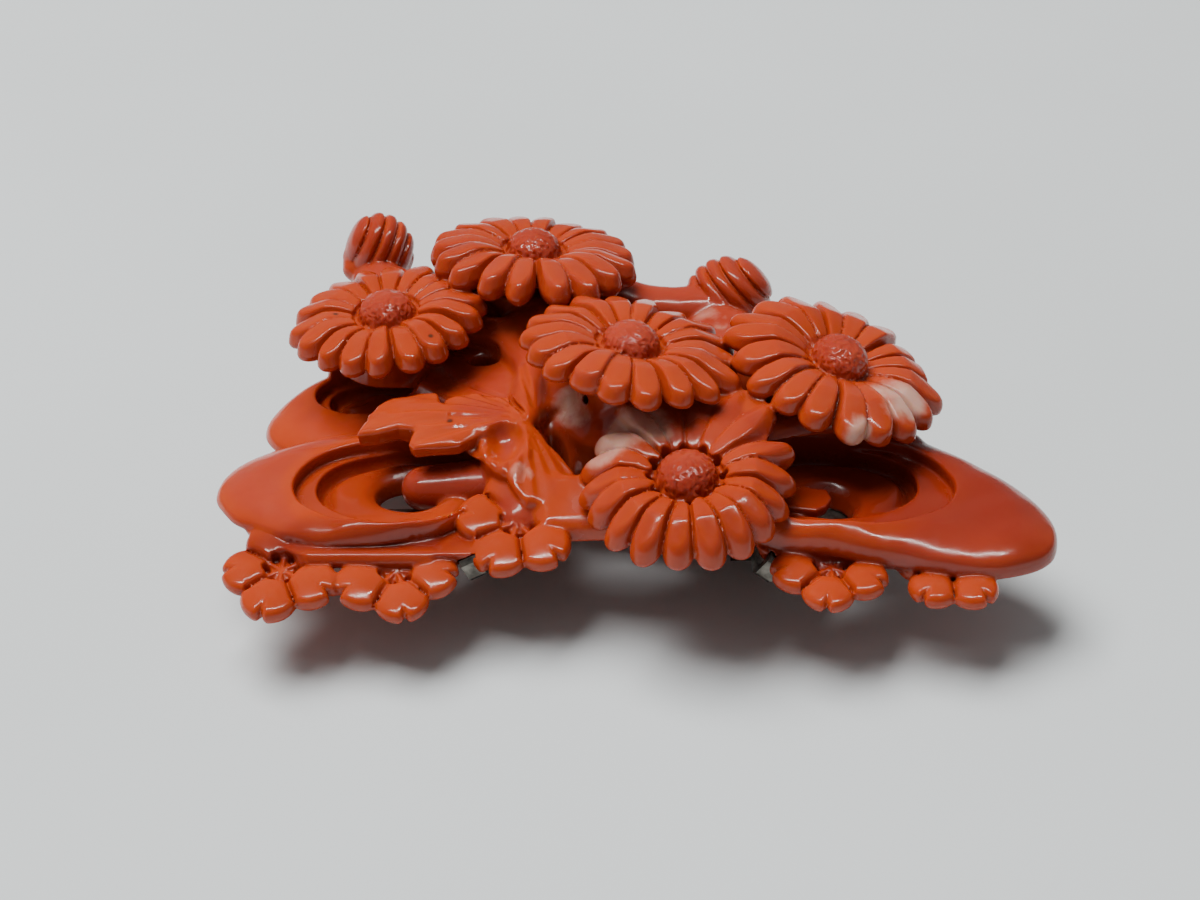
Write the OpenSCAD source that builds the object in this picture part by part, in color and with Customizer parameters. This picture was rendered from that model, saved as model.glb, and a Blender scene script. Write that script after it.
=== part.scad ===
// Sash-cord ornament: one pierced coral carving of chrysanthemums, cherry blossoms,
// a leaf, buds and looped ribbons, held by claws on a soldered silver back mount.
// X runs along the ornament, Y from its lower edge to its upper edge, Z out of its back.

/* [Chrysanthemums] */
// Scale of every chrysanthemum's radius
flower_scale = 1.0; // [0.94:0.01:1.04]
// Petals of each chrysanthemum
petal_count = 18; // [16:1:20]
// Thickness of the petal ring
petal_t = 2.0; // [1.6:0.1:2.2]
// Radius of the domed centre
dome_r = 1.85; // [1.6:0.05:2.1]
// Rise of the domed centre over the petal tips
dome_rise = 1.1; // [0.8:0.1:1.5]

/* [Cherry blossoms] */
// Scale of every blossom's radius
blossom_scale = 1.0; // [0.92:0.01:1.05]
// Thickness of a blossom petal
blossom_t = 1.5; // [1.2:0.1:1.8]

/* [Ribbon loops] */
// Height of a loop's band
band_h = 2.8; // [2.4:0.1:2.8]
// Depth from a loop's crest to the ledge in its hollow
ledge_drop = 1.0; // [0.7:0.1:1.3]
// Depth from a loop's crest to its inner curl
curl_drop = 1.5; // [1.2:0.1:1.8]

/* [Leaf and buds] */
// Thickness of the leaf's edge
leaf_t = 1.8; // [1.4:0.1:2.2]
// Depth of the flutes between a bud's petals, as a share of its radius
flute = 0.16; // [0.08:0.02:0.2]

/* [Cord channel] */
// Clear width for the flat sash cord
cord_w = 10.4; // [9.6:0.2:11.4]
// Clear height for the flat sash cord
cord_h = 4.3; // [4.2:0.1:4.6]

/* [Silver mount] */
// Thickness of the frame, its cross bars and the hoops
plate_t = 0.8; // [0.7:0.1:0.9]
// Width of the frame's rails
rail_w = 2.2; // [1.8:0.1:2.6]
// Width of each hoop along the cord
hoop_w = 3.0; // [2.4:0.1:4]
// Width of a claw
claw_w = 1.25; // [1:0.05:1.4]
// Thickness of a claw
claw_t = 0.45; // [0.4:0.05:0.5]

/* [Hidden] */

// Gap between the coral and the metal
gap = 0.08;
// Shift that brings the ornament's outline over the origin
CENTRE = [-0.15, -0.23, 0];
// Middle of the cord channel across the ornament
cord_y = 0.4;
// Heights of the frame's two faces, and of the coral's flat back over it
frame_top = plate_t + cord_h + plate_t;
frame_low = frame_top - plate_t;
back_z = frame_top + gap;

// In the tables below, heights of the coral's motifs are over its flat back.
// Chrysanthemums: place of the middle of the ring of petal tips, tilt, direction it leans in,
// radius, turn, thickness of its petals as a share of petal_t
FLOWERS = [
    [[ -6.8,  11.1, 9.6], 10,   67, 7.4, 4, 1.0],
    [[-16.9,   4.2, 8.0],  6, -171, 6.9, 9, 1.0],
    [[  0.1,  -2.7, 9.6],  9,   23, 7.4, 0, 1.0],
    [[ 14.0,  -1.9, 8.0], 16,    6, 7.6, 6, 1.0],
    [[  3.5, -12.3, 5.6], 12, -103, 6.9, 2, 1.4],
];
// Cherry blossoms: place, tilt, direction it leans in, radius, direction of its first petal
BLOSSOMS = [
    [[-22.4, -15.3, 0.4], 17, -95, 4.1, -34],
    [[-15.0, -15.3, 0.4], 19, -85, 4.0,  -6],
    [[ -7.3, -12.3, 2.2], 30, -90, 4.1, -46],
    [[ 12.7, -15.6, 0.5],  8, -90, 4.0, -27],
    [[ 20.0, -15.6, -0.1], 8, -90, 3.6, -54],
];
// One petal across: share of its pitch, depth of the notch there as a share of the radius,
// and depth of the groove there
PETAL = [[0, 0.16, 1.5], [0.24, 0.02, 0], [0.76, 0.02, 0]];
NOTCHED_PETAL = [
    [0, 0.48, 0.8], [0.11, 0.14, 0], [0.33, 0, 0],
    [0.5, 0.14, 0.2], [0.67, 0, 0], [0.89, 0.14, 0],
];
// Rings of a chrysanthemum of thickness t, from its underside up to its middle: share of its
// radius, height, share of the notch, share of the groove
function flower_rings(t) = [
    [0.44, -t - 0.4, 0.0, 0.0], [0.92, -t, 1.0, 0.0], [1.00, -t * 0.4, 1.0, 0.5],
    [0.86, -0.05, 0.5, 1.0], [0.56, 0.25, 0.0, 0.6], [0.22, -0.80, 0.0, 0.0],
];
// Rings of a blossom, with the same columns
BLOSSOM_RINGS = [
    [0.34, -blossom_t, 0.0, 0.0], [0.96, -blossom_t * 0.8, 1.0, 0.0], [1.00, -0.35, 1.0, 0.5],
    [0.62, 0.25, 0.7, 0.9], [0.16, -0.35, 0.0, 0.0],
];
// Ribbon loops: centre and half axes of the outline, then of the hollow, height of the crest,
// its drop to the pointed end, direction of that end
LOOPS = [
    [[-17.6, -8.6], [ 8.9, 6.2], [-16.0, -9.2], [5.8, 4.7], 2.8, 0.3, 191],
    [[-17.6,  2.2], [ 7.2, 5.2], [-18.0,  2.6], [4.4, 3.3], 2.5, 0.5, 204],
    [[ 16.6, -9.9], [10.3, 5.6], [ 14.4, -9.6], [6.4, 4.0], 3.2, 1.4, -15],
];
// Length that a loop's outline gains at its pointed end, as a share
loop_point = 0.07;
// Layers inset below the two front loops: corners, then the height
SKIRTS = [
    [[[-23.4, -11.4], [-20.5, -13.0], [-10.6, -12.8], [-11.0, -6.0], [-21.5, -6.5]], 0.9],
    [[[9.4, -12.9], [19.6, -13.4], [22.4, -12.6], [20.0, -6.0], [12.0, -6.0]], 1.0],
];
// Lumps left in the loops' hollows: place, radius, flatness
LUMPS = [
    [[-13.2,  -9.3, 1.2], 2.0, 0.6],
    [[ 11.6, -11.4, 2.2], 1.9, 0.5],
    [[-21.2,   2.4, 0.9], 1.3, 0.6],
];
// Leaf: where its veins meet, then its edge from lobe to lobe, turning clockwise
LEAF_HUB = [-8.6, -6.2, 6.1];
LEAF = [
    [-17.2, -3.9, 5.5], [-15.4, -2.9, 5.8], [-12.7, -3.0, 5.9], [-12.0, -4.1, 5.5],
    [-10.2, -3.0, 6.0], [-8.2, -2.2, 6.2], [-6.5, -2.4, 6.0], [-5.8, -6.4, 5.5],
    [-3.6, -10.6, 4.0], [-5.3, -12.3, 3.9], [-7.2, -12.4, 4.5], [-8.5, -11.0, 4.7],
    [-9.6, -9.4, 4.9], [-10.0, -8.0, 5.1], [-11.4, -8.9, 5.1], [-14.1, -8.8, 5.0],
    [-14.6, -7.6, 5.0], [-17.1, -7.4, 5.0], [-17.7, -6.3, 5.1], [-16.2, -5.0, 5.1],
];
// Rings of the leaf from its underside up: share of the way out from the hub, height
LEAF_RINGS = [[0.3, -leaf_t - 0.6], [0.94, -leaf_t], [1, -0.4], [0.92, 0.1], [0.55, 0.2], [0.04, 0]];
// Stems: two ends, and the radius
STEMS = [
    [[ -1.0,  12.2, 5.4], [  6.0,  10.2, 5.0], 1.4],
    [[ -9.6,   8.2, 4.4], [ -4.2,   2.6, 5.0], 1.3],
    [[ -8.6,  -4.4, 5.2], [ -4.6,   1.6, 5.2], 1.5],
    [[-18.4,  12.0, 4.2], [-18.6,  16.6, 4.6], 1.5],
    [[ -5.6, -10.0, 1.9], [  1.2, -10.0, 1.9], 2.0],
];
// Buds: place of the base, tilt, direction it leans in, radius at the base, at the belly and
// at the tip, height
BUDS = [
    [[-18.6, 17.2, 4.6], 12, 120, 1.5, 2.4, 1.6, 4.0],
    [[  7.4,  9.2, 3.6], 30, 105, 1.9, 3.0, 2.5, 4.2],
];
// Rings of a bud: share of its height, share of the way from base to belly, share of the way
// from belly to tip, share of the flutes
BUD_RINGS = [[0, 0, 0, 0], [0.25, 0.8, 0, 0.6], [0.6, 1, 0, 1], [0.9, 1, 0.6, 1.2], [1, 1, 1, 1.4]];
// Pads that carry the flowers: centre, radius, height
PADS = [
    [[ -6.8,  10.6], 4.6, 7.2],
    [[-16.8,   4.8], 4.2, 5.8],
    [[  0.1,  -2.5], 4.9, 7.2],
    [[ 13.4,  -2.2], 5.0, 5.6],
    [[  3.4, -10.4], 4.2, 3.6],
    [[ -8.6,  -6.6], 3.6, 4.8],
    [[ -7.2, -11.6], 2.8, 1.6],
    [[-17.4,  15.0], 2.2, 4.6],
    [[  6.4,   8.8], 2.2, 4.4],
];
// Ridges between two pads: their places in the table above, and the ridge's height
RIDGES = [
    [0, 1, 4.5], [0, 2, 4.0], [1, 5, 4.0], [5, 2, 4.2], [2, 3, 4.2], [2, 4, 3.6],
    [5, 6, 2.4], [0, 7, 3.6], [0, 8, 4.2], [3, 8, 3.6], [2, 8, 3.2],
];
// Openings right through the coral: centre, half axes, turn
HOLES = [
    [[-10.2,  6.0], [1.5, 1.2],   0],
    [[ -4.2, -5.0], [1.4, 1.0], -45],
    [[-15.9, -7.8], [1.0, 2.1],   0],
    [[ 13.9, -9.4], [2.2, 1.1], -20],
    [[-20.2,  3.8], [1.2, 0.9],  20],
];
hole_h = 4.6;

// Corners of the frame's rails
FRAME = [
    [-19.4, -9.0], [20.0, -9.0], [14.6, -2.0], [7.0, 6.4], [1.6, 10.6], [-12.6, 12.4], [-19.4, 4.6],
];
// Extra width of the solder at the frame's corners
solder = 0.3;
// Hoops: place along the cord, and where their cross bar ends on the back rail
HOOPS = [[-8.5, 12.0], [8.5, 5.0]];
// Claws: foot on a rail, direction, reach, height of the tip over the frame's lower face, lean
CLAWS = [
    [[ -9.7, -9.0], -90, 5.7, 1.7,  28],
    [[  8.3, -9.0], -90, 5.8, 1.8, -38],
    [[-17.8,  6.5], 120, 2.4, 2.3,   0],
    [[ 13.9, -1.3],  60, 3.9, 2.3,   0],
];

function mix(a, b, s) = a + (b - a) * s;
function raised(p, z) = [p.x, p.y, z];
// A point on the ellipse with centre c and half axes r, which is turned round its centre
function on_ellipse(c, r, turn, t) = [
    c.x + r.x * cos(t) * cos(turn) - r.y * sin(t) * sin(turn),
    c.y + r.x * cos(t) * sin(turn) + r.y * sin(t) * cos(turn),
];

// Skins sections that have the same number of points, and joins the last to the first if closed
module loft(sections, closed = false) {
    n = len(sections);
    m = len(sections[0]);
    sides = [
        for (i = [0:closed ? n - 1 : n - 2], j = [0:m - 1])
            [i * m + j, i * m + (j + 1) % m, (i + 1) % n * m + (j + 1) % m, (i + 1) % n * m + j]
    ];
    ends = closed ? [] : [[for (j = [m - 1:-1:0]) j], [for (j = [0:m - 1]) (n - 1) * m + j]];
    polyhedron([for (s = sections, p = s) p], concat(sides, ends), convexity = 6);
}

// Turns what is drawn round the Z axis, tilts it and moves it to its place
module tilted(place, tilt, lean, turn = 0) {
    translate(place) rotate([0, 0, lean]) rotate([0, tilt, 0]) rotate([0, 0, turn - lean]) children();
}

module ball(place, r, flat = 1, sides = 8) {
    translate(place) scale([1, 1, flat]) sphere(r, $fn = sides);
}

// A post from the coral's back, tapering from radius r1 to r2
module post(place, h, r1, r2, sides) {
    translate(place) cylinder(h, r1 = r1, r2 = r2, $fn = sides);
}

// A flower in one closed skin: each of its rings follows the profile of the petals
module rosette(r, petals, profile, rings) {
    loft([for (ring = rings)
        [for (i = [0:petals - 1], p = profile)
            let (
                turn = (0.5 - i - p[0]) * 360 / petals,
                x = r * ring[0] * (1 - p[1] * ring[2])
            )
            [x * cos(turn), x * sin(turn), ring[1] - p[2] * ring[3]]]
    ]);
}

module chrysanthemum(r, t) {
    rosette(r, petal_count, PETAL, flower_rings(t));
    ball([0, 0, -0.35], dome_r, (dome_rise + 0.35) / dome_r, 10);
}

module blossom(r) {
    rosette(r, 5, NOTCHED_PETAL, BLOSSOM_RINGS);
    ball([0, 0, -0.1], r * 0.2, 0.8, 6);
}

// Points of a loop's outline and of its hollow at angle t, where 0 is the pointed end
function loop_outline(s, t) = on_ellipse(s[0], s[1] * (1 + loop_point * pow(max(cos(t), 0), 6)), s[6], t);
function loop_hollow(s, t, share = 1) = on_ellipse(s[2], s[3] * share, s[6], t);
function loop_crest(s, t) = s[4] - s[5] * max(cos(t), 0);

// The band of a loop: a ring whose outer wall bulges and whose crest rolls into the hollow
module loop_band(s, sides = 22) {
    loft([for (i = [0:sides - 1])
        let (
            t = i * 360 / sides,
            o = loop_outline(s, t),
            h = loop_hollow(s, t),
            z = loop_crest(s, t)
        )
        [
            raised(mix(o, h, 0.14), z - band_h),
            raised(o, z - band_h * 0.55),
            raised(mix(o, h, 0.22), z - 0.35),
            raised(mix(o, h, 0.70), z),
            raised(h, z - 0.5),
            raised(h, z - band_h),
        ]
    ], closed = true);
}

// A flat ring inside a loop's hollow, between two shares of the hollow's size
module loop_ring(s, outer, inner, high, sides = 16) {
    loft([for (i = [0:sides - 1])
        let (
            t = i * 360 / sides,
            a = loop_hollow(s, t, outer),
            b = loop_hollow(s, t, inner)
        )
        [
            raised(a, 0),
            raised(a, high - 0.3),
            raised(mix(a, b, 0.6), high),
            raised(b, high - 0.5),
            raised(b, 0),
        ]
    ], closed = true);
}

module ribbon_loop(s) {
    loop_band(s);
    loop_ring(s, 1.08, 0.80, s[4] - ledge_drop);
    loop_ring(s, 0.90, 0.26, s[4] - curl_drop);
}

module skirt(corners, h) {
    hull() for (p = corners) post(p, h, 1.3, 1.7, 8);
}

module leaf() {
    loft([for (ring = LEAF_RINGS) [for (p = LEAF) mix(LEAF_HUB, p, ring[0]) + [0, 0, ring[1]]]]);
}

module stem(a, b, r) {
    hull() {
        ball(a, r);
        ball(b, r);
    }
}

// A bud: rings fluted into petals, which wind a little round it
module bud(base_r, belly_r, tip_r, h, petals = 10, wind = 18) {
    loft([for (ring = BUD_RINGS)
        [for (i = [0:petals * 2 - 1])
            let (
                groove = flute * ring[3] * (i % 2),
                r = mix(mix(base_r, belly_r, ring[1]), tip_r, ring[2]) * (1 - groove),
                turn = -i * 180 / petals - ring[0] * wind
            )
            [r * cos(turn), r * sin(turn), ring[0] * h - groove]]
    ]);
    ball([0, 0, h * 0.95], tip_r * 0.8, 0.7);
}

// The ground of the carving: pads under the flowers, joined by ridges
module ground() {
    for (p = PADS) post(p[0], p[2], p[1], p[1] * 0.8, 12);
    for (k = RIDGES)
        hull() for (p = [PADS[k[0]], PADS[k[1]]]) post(p[0], k[2], p[1] * 0.62, p[1] * 0.4, 8);
}

// An upright oval that is cut through the coral below the flowers
module opening(centre, half, turn) {
    translate([centre.x, centre.y, -1]) rotate([0, 0, turn])
        scale([half.x, half.y, 1]) cylinder(hole_h + 1, r = 1, $fn = 12);
}

// The bent strip of a claw: out under the coral, up its edge and a little in over it
module claw(foot, direction, reach, up, lean, grow = 0) {
    outline = [
        [-0.6, -grow], [reach - 0.3, -grow], [reach + grow, 0.3], [reach + grow, up * 0.8],
        [reach - 0.25 + grow, up + grow], [reach - 0.7 - grow, up + 0.1 + 2 * grow],
        [reach - claw_t - grow, up * 0.75], [reach - claw_t - grow, claw_t + 0.2],
        [reach - claw_t - 0.25, claw_t + grow], [-0.6, claw_t + grow],
    ];
    translate([foot.x, foot.y, frame_low]) rotate([0, 0, direction]) rotate([lean, 0, 0]) rotate([90, 0, 0])
        translate([0, 0, -claw_w / 2 - grow]) linear_extrude(claw_w + 2 * grow) polygon(outline);
}

module claws(grow = 0) {
    for (c = CLAWS) claw(c[0], c[1], c[2], c[3], c[4], grow);
}

// A flat strip between two points of the frame, with a round soldered end
module rail(a, b, grow) {
    d = b - a;
    w = rail_w + 2 * grow;
    t = plate_t + 2 * grow;
    translate([a.x, a.y, frame_low - grow]) {
        rotate([0, 0, atan2(d.y, d.x)]) translate([0, -w / 2, 0]) cube([norm(d), w, t]);
        cylinder(t, d = w + solder, $fn = 32);
    }
}

module frame(grow = 0) {
    for (i = [0:len(FRAME) - 1]) rail(FRAME[i], FRAME[(i + 1) % len(FRAME)], grow);
}

// A hoop round the cord: a cross bar on the frame, two legs and a strap below
module hoop(x, back) {
    low_y = cord_y - cord_w / 2 - plate_t;
    high_y = cord_y + cord_w / 2;
    front = FRAME[0].y;
    translate([x - hoop_w / 2, front, frame_low]) cube([hoop_w, back - front, plate_t]);
    for (y = [low_y, high_y]) translate([x - hoop_w / 2, y, 0]) cube([hoop_w, plate_t, frame_top]);
    translate([x - hoop_w / 2, low_y, 0]) cube([hoop_w, cord_w + 2 * plate_t, plate_t]);
}

// The block of coral before it is cut for the mount, standing on the plane of its back
module carving() {
    ground();
    for (f = FLOWERS) tilted(f[0], f[1], f[2], f[4]) chrysanthemum(f[3] * flower_scale, f[5] * petal_t);
    for (b = BLOSSOMS) tilted(b[0], b[1], b[2], b[4]) blossom(b[3] * blossom_scale);
    for (s = LOOPS) ribbon_loop(s);
    for (s = SKIRTS) skirt(s[0], s[1]);
    for (s = LUMPS) ball(s[0], s[1], s[2]);
    leaf();
    for (s = STEMS) stem(s[0], s[1], s[2]);
    for (b = BUDS) tilted(b[0], b[1], b[2]) bud(b[3], b[4], b[5], b[6]);
}

module coral_carving() {
    color([0.83, 0.33, 0.20]) translate(CENTRE) difference() {
        translate([0, 0, back_z]) difference() {
            carving();
            for (h = HOLES) opening(h[0], h[1], h[2]);
        }
        frame(gap);
        claws(gap);
    }
}

module silver_mount() {
    color([0.52, 0.52, 0.49]) translate(CENTRE) {
        frame();
        claws();
        for (h = HOOPS) hoop(h[0], h[1]);
    }
}

coral_carving();
silver_mount();
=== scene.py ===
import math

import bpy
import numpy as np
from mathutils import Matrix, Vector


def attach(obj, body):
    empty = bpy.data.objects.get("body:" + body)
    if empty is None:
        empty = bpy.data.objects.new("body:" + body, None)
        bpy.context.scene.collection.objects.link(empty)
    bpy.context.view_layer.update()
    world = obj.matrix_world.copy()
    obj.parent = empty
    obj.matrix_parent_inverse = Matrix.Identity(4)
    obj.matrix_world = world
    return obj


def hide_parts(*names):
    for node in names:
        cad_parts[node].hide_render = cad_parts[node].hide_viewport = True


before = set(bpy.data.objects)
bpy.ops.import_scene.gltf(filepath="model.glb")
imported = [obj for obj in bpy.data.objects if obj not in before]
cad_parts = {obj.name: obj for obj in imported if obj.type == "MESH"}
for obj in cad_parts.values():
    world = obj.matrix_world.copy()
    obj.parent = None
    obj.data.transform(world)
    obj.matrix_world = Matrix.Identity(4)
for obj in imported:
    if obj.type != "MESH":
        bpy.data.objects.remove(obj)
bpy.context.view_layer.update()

# The looks of a pierced coral sash-cord ornament in its silver back mount.
# The coral is carved as a distance field in millimetres: forms are added and cut one after
# another, each inside its own box, and the surface is then meshed. Tables give x and y as in the
# construction before it was centred, and heights over the coral's flat back.

# From the tables to the object's frame: its shift in x and y, and the height of the flat back
MM = 0.001
CENTRE = np.array([-0.15, -0.23])
BACK = 5.98

# The field: size of its cells, corners of its box, and its value away from every form
CELL = 0.15
FIELD_LOW = np.array([-28.0, -20.6, -2.6])
FIELD_HIGH = np.array([28.2, 20.8, 11.6])
FAR = 4.0
# Triangles of the finished carving
TRIANGLES = 196000


# Distances

def smooth_min(a, b, k):
    """The lesser of a and b, with the change from one to the other spread over a width of k."""
    h = np.clip(0.5 + 0.5 * (b - a) / k, 0, 1)
    return b + (a - b) * h - k * h * (1 - h)


def smooth_max(a, b, k):
    return -smooth_min(-a, -b, k)


def blend_between(a, b, s):
    """A smooth step of s from edge a to edge b."""
    t = np.clip((s - a) / (b - a), 0, 1)
    return t * t * (3 - 2 * t)


def ellipse_2d(x, y, half_x, half_y):
    """Distance to an ellipse round the origin, nearly true close to its edge."""
    k0 = np.hypot(x / half_x, y / half_y)
    k1 = np.hypot(x / half_x**2, y / half_y**2)
    return k0 * (k0 - 1) / np.maximum(k1, 1e-4)


def turned(p, centre, degrees):
    """x and y of the points in a frame that stands at centre and is turned."""
    c, s = math.cos(math.radians(degrees)), math.sin(math.radians(degrees))
    x, y = p[:, 0] - centre[0], p[:, 1] - centre[1]
    return c * x + s * y, c * y - s * x


def egg(centre, half, turn=0):
    """An ellipsoid, turned round the vertical."""
    def distance(p):
        x, y = turned(p, centre, turn)
        z = p[:, 2] - centre[2]
        k0 = np.sqrt((x / half[0])**2 + (y / half[1])**2 + (z / half[2])**2)
        k1 = np.sqrt((x / half[0]**2)**2 + (y / half[1]**2)**2 + (z / half[2]**2)**2)
        return k0 * (k0 - 1) / np.maximum(k1, 1e-4)

    reach = max(half)
    return distance, np.array(centre) - reach, np.array(centre) + reach


def rod(a, b, ra, rb=None):
    """A round bar from a to b, with a radius at each end."""
    a, b = np.array(a, float), np.array(b, float)
    rb = ra if rb is None else rb
    along = b - a
    length = along @ along

    def distance(p):
        t = np.clip((p - a) @ along / length, 0, 1)
        return np.linalg.norm(p - a - t[:, None] * along, axis=1) - (ra + (rb - ra) * t)

    reach = max(ra, rb)
    return distance, np.minimum(a, b) - reach, np.maximum(a, b) + reach


def placed(shape, place, reach, tilt, lean, turn):
    """Moves a shape from its own frame to its place: turned, tilted and then leaning."""
    def about_z(degrees):
        c, s = math.cos(math.radians(degrees)), math.sin(math.radians(degrees))
        return np.array([[c, -s, 0], [s, c, 0], [0, 0, 1]])

    c, s = math.cos(math.radians(tilt)), math.sin(math.radians(tilt))
    about_y = np.array([[c, 0, s], [0, 1, 0], [-s, 0, c]])
    axes = about_z(lean) @ about_y @ about_z(turn - lean)
    place = np.array(place, float)
    return lambda p: shape((p - place) @ axes), place - reach, place + reach


class Carving:
    """The steps that add coral or cut it away, in order."""

    def __init__(self):
        self.steps = []

    def add(self, form, blend):
        self.steps.append((1, form, blend))

    def cut(self, form, blend):
        self.steps.append((-1, form, blend))

    def combine(self, side, field, distance, blend):
        if side > 0:
            return smooth_min(field, distance, blend)
        return smooth_max(field, -distance, blend)

    def at(self, points):
        """The field at any points."""
        field = np.full(len(points), FAR)
        for side, (shape, low, high), blend in self.steps:
            margin = blend + 3 * CELL
            near = np.all((points > low - margin) & (points < high + margin), axis=1)
            if near.any():
                field[near] = self.combine(side, field[near], shape(points[near]), blend)
        return field

    def grid(self):
        """The field on the regular grid that fills its box."""
        counts = np.ceil((FIELD_HIGH - FIELD_LOW) / CELL).astype(int) + 1
        axes = [FIELD_LOW[i] + CELL * np.arange(counts[i]) for i in range(3)]
        field = np.full(counts, FAR, np.float32)
        for side, (shape, low, high), blend in self.steps:
            margin = blend + 3 * CELL
            part = tuple(
                slice(*np.searchsorted(axes[i], [low[i] - margin, high[i] + margin])) for i in range(3)
            )
            if 0 in field[part].shape:
                continue
            points = np.stack(np.meshgrid(*(axes[i][part[i]] for i in range(3)), indexing="ij"), -1)
            distance = shape(points.reshape(-1, 3)).reshape(field[part].shape)
            field[part] = self.combine(side, field[part], distance, blend)
        return field


def mesh_of(field):
    """Vertices and quads of the field's zero surface, by surface nets."""
    inside = field < 0
    nx, ny, nz = (n - 1 for n in field.shape)
    corners = [(i, j, k) for i in (0, 1) for j in (0, 1) for k in (0, 1)]

    def corner(array, c):
        return array[c[0]:c[0] + nx, c[1]:c[1] + ny, c[2]:c[2] + nz]

    count = sum(corner(inside, c).astype(np.int8) for c in corners)
    active = (count > 0) & (count < 8)
    where = np.argwhere(active)
    number = np.full(active.shape, -1, np.int32)
    number[active] = np.arange(len(where))
    values = {c: corner(field, c)[active] for c in corners}
    total = np.zeros((len(where), 3))
    crossings = np.zeros(len(where))
    for a in corners:
        for axis in range(3):
            if a[axis]:
                continue
            b = tuple(a[i] + (i == axis) for i in range(3))
            va, vb = values[a], values[b]
            crosses = (va < 0) != (vb < 0)
            t = np.where(crosses, va / np.where(crosses, va - vb, 1), 0)
            for i in range(3):
                total[:, i] += np.where(crosses, a[i] + (t if i == axis else 0), 0)
            crossings += crosses
    vertices = FIELD_LOW + CELL * (where + total / crossings[:, None])
    quads = []
    for axis in range(3):
        u, v = (axis + 1) % 3, (axis + 2) % 3
        core = [slice(1, -1)] * 3
        core[axis] = slice(0, -1)
        ahead = list(core)
        ahead[axis] = slice(1, None)
        first, second = inside[tuple(core)], inside[tuple(ahead)]
        cells = np.argwhere(first != second)
        leaving = first[first != second]
        step = np.eye(3, dtype=int)
        base = cells + step[u] + step[v]
        ring = [base - step[u] - step[v], base - step[v], base, base - step[u]]
        quad = np.stack([number[tuple(c.T)] for c in ring], -1)
        quads.append(np.where(leaving[:, None], quad, quad[:, ::-1]))
    return vertices, np.concatenate(quads)


# Flowers

# Chrysanthemums: number of petals, angle between them, slope of the V cuts that part them
PETALS = 18
PITCH = 2 * math.pi / PETALS
V_CUT = 0.30
# The rough dome: its radius, how much it is flattened, and its strokes' number, half length,
# half width and depth
DOME_R = 1.97
DOME_FLAT = 1.22
STROKES = 90
STROKE_LONG, STROKE_WIDE, STROKE_DEEP = 0.17, 0.06, 0.10
# The drilled dimples round a dome: number, radius, distance from the dome
DIMPLES = 12
DIMPLE_R, DIMPLE_AWAY = 0.29, 0.38
# How much petals that merge with what is behind them rise outwards
MERGE_RISE = 0.10


def dome_strokes(rng):
    """Strokes spread over a dome: directions from its middle, and the directions they run in."""
    golden = math.pi * (3 - math.sqrt(5))
    strokes = []
    for i in range(STROKES):
        up = 1 - 0.95 * (i + 0.5) / STROKES
        flat = math.sqrt(1 - up * up)
        place = np.array([flat * math.cos(golden * i), flat * math.sin(golden * i), up])
        tangent = np.cross(place, rng.normal(size=3))
        strokes.append((place, tangent / np.linalg.norm(tangent)))
    return strokes


def stroke_share(way, strokes):
    """How deep the strokes are in each direction from the dome's middle, from 0 to 1."""
    share = np.zeros(len(way))
    for place, tangent in strokes:
        offset = way - place
        along = offset @ tangent
        across = offset @ np.cross(place, tangent) + 2.5 * along**2
        share = np.maximum(share, np.exp(-(along / STROKE_LONG)**2 - (across / STROKE_WIDE)**2))
    return share


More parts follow.
